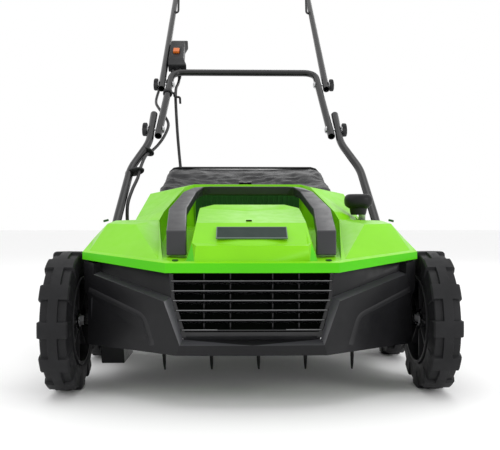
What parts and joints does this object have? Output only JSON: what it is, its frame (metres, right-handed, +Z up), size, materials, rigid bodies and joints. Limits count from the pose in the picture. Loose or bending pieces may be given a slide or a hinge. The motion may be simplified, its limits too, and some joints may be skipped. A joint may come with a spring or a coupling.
{
  "type": "lawn dethatcher",
  "caption": "Electric lawn dethatcher with a spring-tine rotor under a green hood, belt drive, large wheels, folding tube handle with bail, mains pigtail and rear grass bag.",
  "frame": {"origin": "middle of the machine's footprint on the ground, between the front lip of the cover and the rear of the handle's grip", "axes": "+Z up, -Y is the front of the machine (the grille and name plate face -Y), +X is the side of the height lever"},
  "size_m": [0.567, 1.2522, 0.9954],
  "materials": {
    "green_plastic": "moulded, slightly glossy",
    "black_plastic": "fine moulded grain",
    "case_black": "glossy moulding",
    "grey_plastic": "satin",
    "plate_dark": "plain plate, no lettering",
    "tyre_rubber": "moulded tread",
    "cable_rubber": "smooth sheath",
    "belt_rubber": "toothed inside",
    "zinc_steel": "zinc plated",
    "motor_case": "painted",
    "black_tube": "black powder coat",
    "tine_steel": "oiled spring steel",
    "foam": "closed-cell foam",
    "bag_cloth": "woven polyester",
    "orange_plastic": "moulded"
  },
  "bodies": {
    "deck": {"top_cover": "green_plastic", "deck_housing": "black_plastic", "front_grille": "black_plastic", "carry_handle": "grey_plastic", "name_plate": "plate_dark", "chassis_plate": "black_tube", "motor": "motor_case", "drive_belt": "belt_rubber", "belt_cover": "case_black", "bearing_plate_left": "black_plastic", "bearing_plate_right": "black_plastic", "rear_axle": "zinc_steel", "lower_tube_left": "black_tube", "lower_tube_right": "black_tube", "carriage_bolt_lower_left": "zinc_steel", "carriage_bolt_lower_right": "zinc_steel"},
    "crank": {"front_axle": "zinc_steel", "height_lever": "zinc_steel", "height_knob": "black_plastic"},
    "front_wheel_left": {"tyre_front_left": "tyre_rubber", "wheel_hub_front_left": "black_plastic"},
    "front_wheel_right": {"tyre_front_right": "tyre_rubber", "wheel_hub_front_right": "black_plastic"},
    "rear_wheel_left": {"tyre_rear_left": "tyre_rubber", "wheel_hub_rear_left": "black_plastic"},
    "rear_wheel_right": {"tyre_rear_right": "tyre_rubber", "wheel_hub_rear_right": "black_plastic"},
    "tine_rotor": {"rotor_shaft": "zinc_steel", "rotor_pulley": "black_plastic", "spring_tine_01": "tine_steel", "spring_tine_02": "tine_steel", "spring_tine_03": "tine_steel", "spring_tine_04": "tine_steel", "spring_tine_05": "tine_steel", "spring_tine_06": "tine_steel", "spring_tine_07": "tine_steel", "spring_tine_08": "tine_steel", "spring_tine_09": "tine_steel", "spring_tine_10": "tine_steel"},
    "drive_pulley": {"motor_pulley": "zinc_steel"},
    "handle_middle": {"middle_handle": "black_tube", "carriage_bolt_upper_left": "zinc_steel", "carriage_bolt_upper_right": "zinc_steel", "cord_hook": "black_plastic", "motor_cable_lower": "cable_rubber", "mains_lead": "cable_rubber", "mains_plug": "black_plastic"},
    "handle_upper": {"upper_handle": "black_tube", "foam_grip": "foam", "switch_box": "black_plastic", "motor_cable_upper": "cable_rubber"},
    "bail": {"bail_lever": "black_tube"},
    "button": {"lock_button": "orange_plastic"},
    "flap": {"rear_flap": "black_plastic"},
    "bag": {"bag_fabric": "bag_cloth", "bag_frame": "black_plastic"},
    "knob_lower_left": {"wing_knob_lower_left": "black_plastic"},
    "knob_lower_right": {"wing_knob_lower_right": "black_plastic"},
    "knob_upper_left": {"wing_knob_upper_left": "black_plastic"},
    "knob_upper_right": {"wing_knob_upper_right": "black_plastic"}
  },
  "joints": [
    {"name": "height_setting", "type": "hinge", "parent": "deck", "child": "crank", "pos_m": [0, -0.35358, 0.178], "axis": [-1, 0, 0], "range_deg": [0, 6.4]},
    {"name": "front_wheel_left_spin", "type": "hinge", "parent": "crank", "child": "front_wheel_left", "pos_m": [-0.2625, -0.48858, 0.1], "axis": [-1, 0, 0], "continuous": true},
    {"name": "front_wheel_right_spin", "type": "hinge", "parent": "crank", "child": "front_wheel_right", "pos_m": [0.2625, -0.48858, 0.1], "axis": [-1, 0, 0], "continuous": true},
    {"name": "rear_wheel_left_spin", "type": "hinge", "parent": "deck", "child": "rear_wheel_left", "pos_m": [-0.2655, -0.21858, 0.1], "axis": [-1, 0, 0], "continuous": true},
    {"name": "rear_wheel_right_spin", "type": "hinge", "parent": "deck", "child": "rear_wheel_right", "pos_m": [0.2655, -0.21858, 0.1], "axis": [-1, 0, 0], "continuous": true},
    {"name": "rotor_spin", "type": "hinge", "parent": "deck", "child": "tine_rotor", "pos_m": [0, -0.40858, 0.096], "axis": [-1, 0, 0], "continuous": true},
    {"name": "motor_spin", "type": "hinge", "parent": "deck", "child": "drive_pulley", "pos_m": [-0.2065, -0.49658, 0.19], "axis": [-1, 0, 0], "continuous": true},
    {"name": "middle_handle_fold", "type": "hinge", "parent": "deck", "child": "handle_middle", "pos_m": [0, 0.01889, 0.44626], "axis": [1, 0, 0], "range_deg": [0, 140], "deforming": ["motor_cable_lower", "mains_lead"]},
    {"name": "upper_handle_fold", "type": "hinge", "parent": "handle_middle", "child": "handle_upper", "pos_m": [0, 0.1721, 0.57482], "axis": [-1, 0, 0], "range_deg": [0, 95], "deforming": ["motor_cable_upper"]},
    {"name": "bail_squeeze", "type": "hinge", "parent": "handle_upper", "child": "bail", "pos_m": [0, 0.49384, 0.84479], "axis": [-1, 0, 0], "range_deg": [0, 31.4], "stiffness_Nm_per_rad": 1, "springref_deg": -20.05},
    {"name": "lock_button_press", "type": "slide", "parent": "handle_upper", "child": "button", "axis": [0, 0.6428, -0.766], "range_m": [0, 0.004], "stiffness_N_per_m": 150, "springref_m": -0.002},
    {"name": "rear_flap_lift", "type": "hinge", "parent": "deck", "child": "flap", "pos_m": [0, -0.19208, 0.2775], "axis": [1, 0, 0], "range_deg": [0, 45], "stiffness_Nm_per_rad": 0.15, "springref_deg": -45.84},
    {"name": "bag_slide_off", "type": "slide", "parent": "deck", "child": "bag", "axis": [0, 1, 0], "range_m": [0, 0.016]},
    {"name": "knob_lower_left_turn", "type": "hinge", "parent": "deck", "child": "knob_lower_left", "pos_m": [-0.2177, 0.01889, 0.44626], "axis": [-1, 0, 0], "continuous": true},
    {"name": "knob_lower_right_turn", "type": "hinge", "parent": "deck", "child": "knob_lower_right", "pos_m": [0.2177, 0.01889, 0.44626], "axis": [1, 0, 0], "continuous": true},
    {"name": "knob_upper_left_turn", "type": "hinge", "parent": "handle_middle", "child": "knob_upper_left", "pos_m": [-0.2107, 0.1721, 0.57482], "axis": [-1, 0, 0], "continuous": true},
    {"name": "knob_upper_right_turn", "type": "hinge", "parent": "handle_middle", "child": "knob_upper_right", "pos_m": [0.2107, 0.1721, 0.57482], "axis": [1, 0, 0], "continuous": true}
  ],
  "couplings": [
    {"joint": "motor_spin", "follows": "rotor_spin", "ratio": 2.9167}
  ]
}
